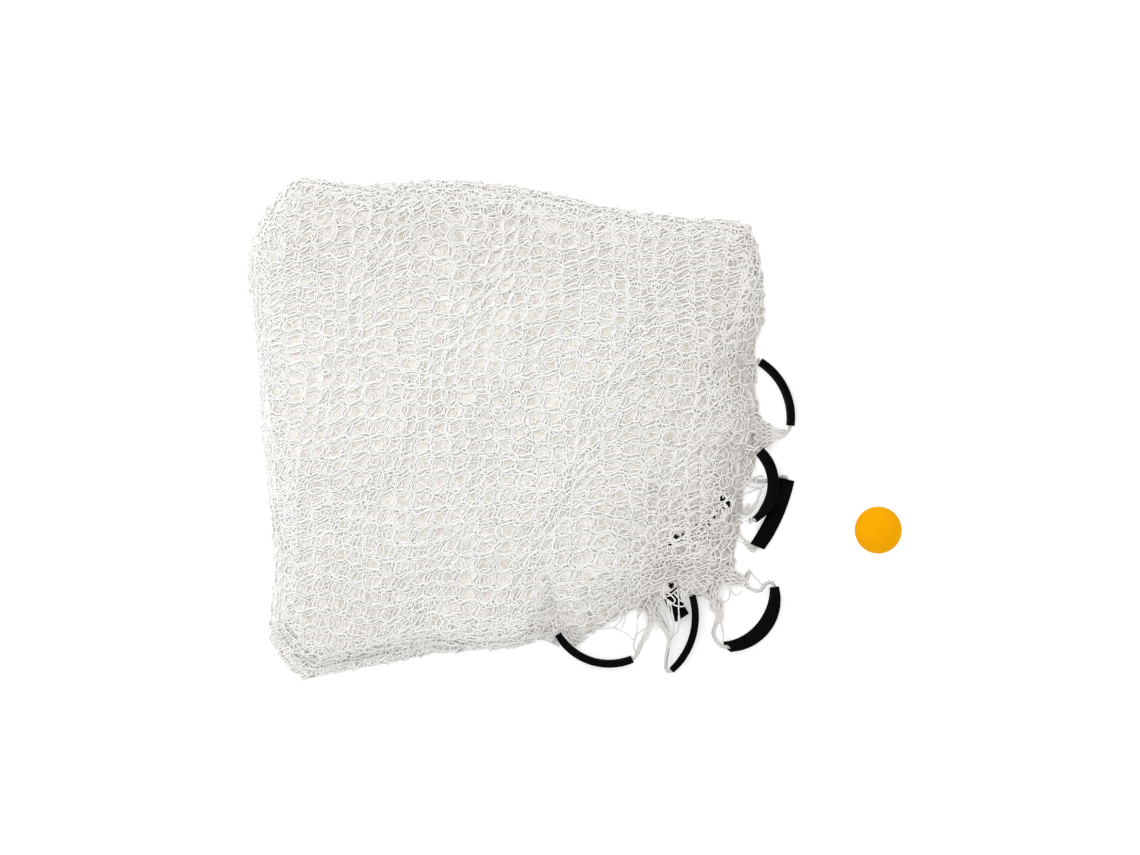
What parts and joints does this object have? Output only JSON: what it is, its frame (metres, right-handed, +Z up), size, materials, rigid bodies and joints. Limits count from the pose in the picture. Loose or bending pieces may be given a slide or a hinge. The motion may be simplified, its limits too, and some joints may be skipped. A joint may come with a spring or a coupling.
{
  "type": "roundnet set",
  "caption": "Round knotless play net folded into a flat square pile, its rim threaded on a rope with curved sleeve grips that lift as handles, with a plain play ball beside it.",
  "frame": {"origin": "centre of the whole set's footprint, on the ground", "axes": "+X across the pile towards the ball, +Y away from the handles' lower corner, +Z up"},
  "size_m": [0.9026, 0.6933, 0.065],
  "materials": {
    "netting": "off-white knotless polyester twine with a soft gloss",
    "rim_rope": "white braided rope",
    "grip_sleeve": "satin black sleeve",
    "ball": "matte yellow-orange"
  },
  "bodies": {
    "net": {"folded_net": "netting", "grip_7": "grip_sleeve", "grip_8": "grip_sleeve"},
    "handle_1": {"grip_1": "grip_sleeve", "rim_rope_1": "rim_rope", "net_gather_1": "netting"},
    "handle_2": {"grip_2": "grip_sleeve", "rim_rope_2": "rim_rope"},
    "handle_3": {"grip_3": "grip_sleeve", "rim_rope_3": "rim_rope", "net_gather_3": "netting"},
    "handle_4": {"grip_4": "grip_sleeve", "rim_rope_4": "rim_rope", "net_gather_4_upper": "netting", "net_gather_4_lower": "netting"},
    "handle_5": {"grip_5": "grip_sleeve", "rim_rope_5": "rim_rope", "net_gather_5": "netting"},
    "handle_6": {"grip_6": "grip_sleeve", "rim_rope_6": "rim_rope", "net_gather_6": "netting"},
    "ball": {"play_ball": "ball"}
  },
  "joints": [
    {"name": "handle_1_lift", "type": "hinge", "parent": "net", "child": "handle_1", "pos_m": [0.257, 0.0385, 0.007], "axis": [0.1075, -0.9942, 0], "range_deg": [0, 90]},
    {"name": "handle_2_lift", "type": "hinge", "parent": "net", "child": "handle_2", "pos_m": [0.245, -0.092, 0.007], "axis": [-0.1393, -0.9903, 0], "range_deg": [0, 90]},
    {"name": "handle_3_lift", "type": "hinge", "parent": "net", "child": "handle_3", "pos_m": [0.245, -0.092, 0.007], "axis": [-0.1393, -0.9903, 0], "range_deg": [0, 90]},
    {"name": "handle_4_lift", "type": "hinge", "parent": "net", "child": "handle_4", "pos_m": [0.211, -0.2245, 0.007], "axis": [-0.8771, -0.4803, 0], "range_deg": [0, 90]},
    {"name": "handle_5_lift", "type": "hinge", "parent": "net", "child": "handle_5", "pos_m": [0.1405, -0.2435, 0.007], "axis": [-0.7724, -0.6351, 0], "range_deg": [0, 90]},
    {"name": "handle_6_lift", "type": "hinge", "parent": "net", "child": "handle_6", "pos_m": [0.0395, -0.2675, 0.007], "axis": [-0.9899, -0.1414, 0], "range_deg": [0, 90]},
    {"name": "ball_lift", "type": "slide", "parent": "net", "child": "ball", "axis": [0, 0, 1], "range_m": [0, 0.5]}
  ],
  "couplings": [
    {"joint": "handle_2_lift", "follows": "handle_3_lift", "ratio": 1}
  ]
}
